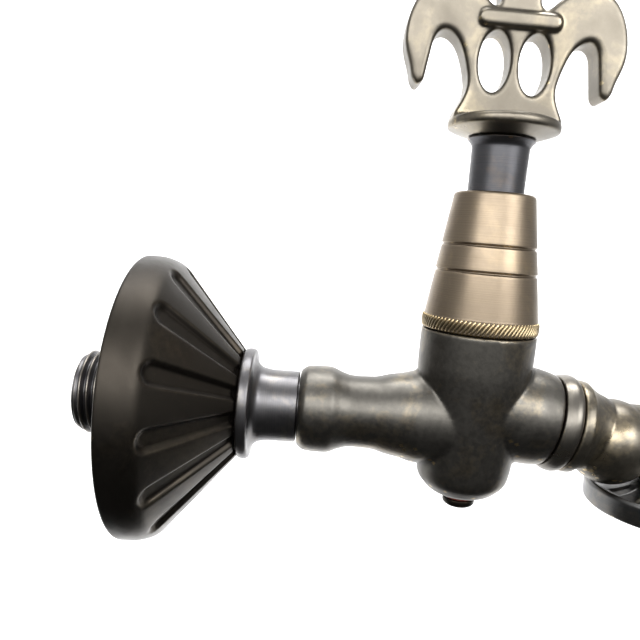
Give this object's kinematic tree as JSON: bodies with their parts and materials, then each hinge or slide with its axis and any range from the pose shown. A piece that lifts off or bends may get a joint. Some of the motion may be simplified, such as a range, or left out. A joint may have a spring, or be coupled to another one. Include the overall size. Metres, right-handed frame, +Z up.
{
  "type": "hose bib",
  "caption": "Wall-mounted outdoor tap with a fluted flange, a tall tapered shroud, an ornate lily handle and a threaded downward hose outlet.",
  "frame": {"origin": "where the inlet's axis meets the wall face", "axes": "+X out of the wall along the inlet, +Z up along the valve's spindle, +Y completes the right hand; the outlet points down -Z"},
  "size_m": [0.1729, 0.071, 0.1541],
  "materials": {
    "wall_flange": "near-black bronze patina, rubbed bright on the edges",
    "inlet_tailpiece": "antique bronze patina over turned brass",
    "valve_body": "sand-cast brass with an antique bronze patina",
    "drain_plug": "dark bronze patina",
    "drain_plug_washer": "red fibre",
    "headwork": "turned brass",
    "headwork_gasket": "red fibre",
    "spindle": "turned brass",
    "packing_ring": "black rubber",
    "gland_nut": "turned brass",
    "shroud": "turned brass with a brown-gold antique finish",
    "handle_sleeve": "turned brass with a blue-grey patina",
    "handle": "cast brass with an antique bronze patina",
    "handle_grub_screw": "plain steel",
    "outlet_lock_ring": "turned brass with a blue-grey patina",
    "spout": "cast brass with an antique bronze patina",
    "spout_skirt": "turned brass with a blue-grey patina",
    "hose_nipple": "turned brass with an antique bronze patina",
    "nipple_gasket": "black rubber",
    "disc_seal": "black rubber",
    "fixed_disc": null,
    "turning_disc": null
  },
  "bodies": {
    "tap": {"wall_flange": "wall_flange", "inlet_tailpiece": "inlet_tailpiece", "valve_body": "valve_body", "drain_plug": "drain_plug", "drain_plug_washer": "drain_plug_washer", "headwork": "headwork", "headwork_gasket": "headwork_gasket", "packing_ring": "packing_ring", "gland_nut": "gland_nut", "shroud": "shroud", "outlet_lock_ring": "outlet_lock_ring", "spout": "spout", "spout_skirt": "spout_skirt", "hose_nipple": "hose_nipple", "nipple_gasket": "nipple_gasket", "disc_seal": "disc_seal", "fixed_disc": "fixed_disc"},
    "spindle_and_handle": {"turning_disc": "turning_disc", "spindle": "spindle", "handle_sleeve": "handle_sleeve", "handle": "handle", "handle_grub_screw": "handle_grub_screw"}
  },
  "joints": [
    {"name": "handle_turn", "type": "hinge", "parent": "tap", "child": "spindle_and_handle", "pos_m": [0.084, 0, 0.05], "axis": [0, 0, 1], "range_deg": [0, 90]}
  ]
}
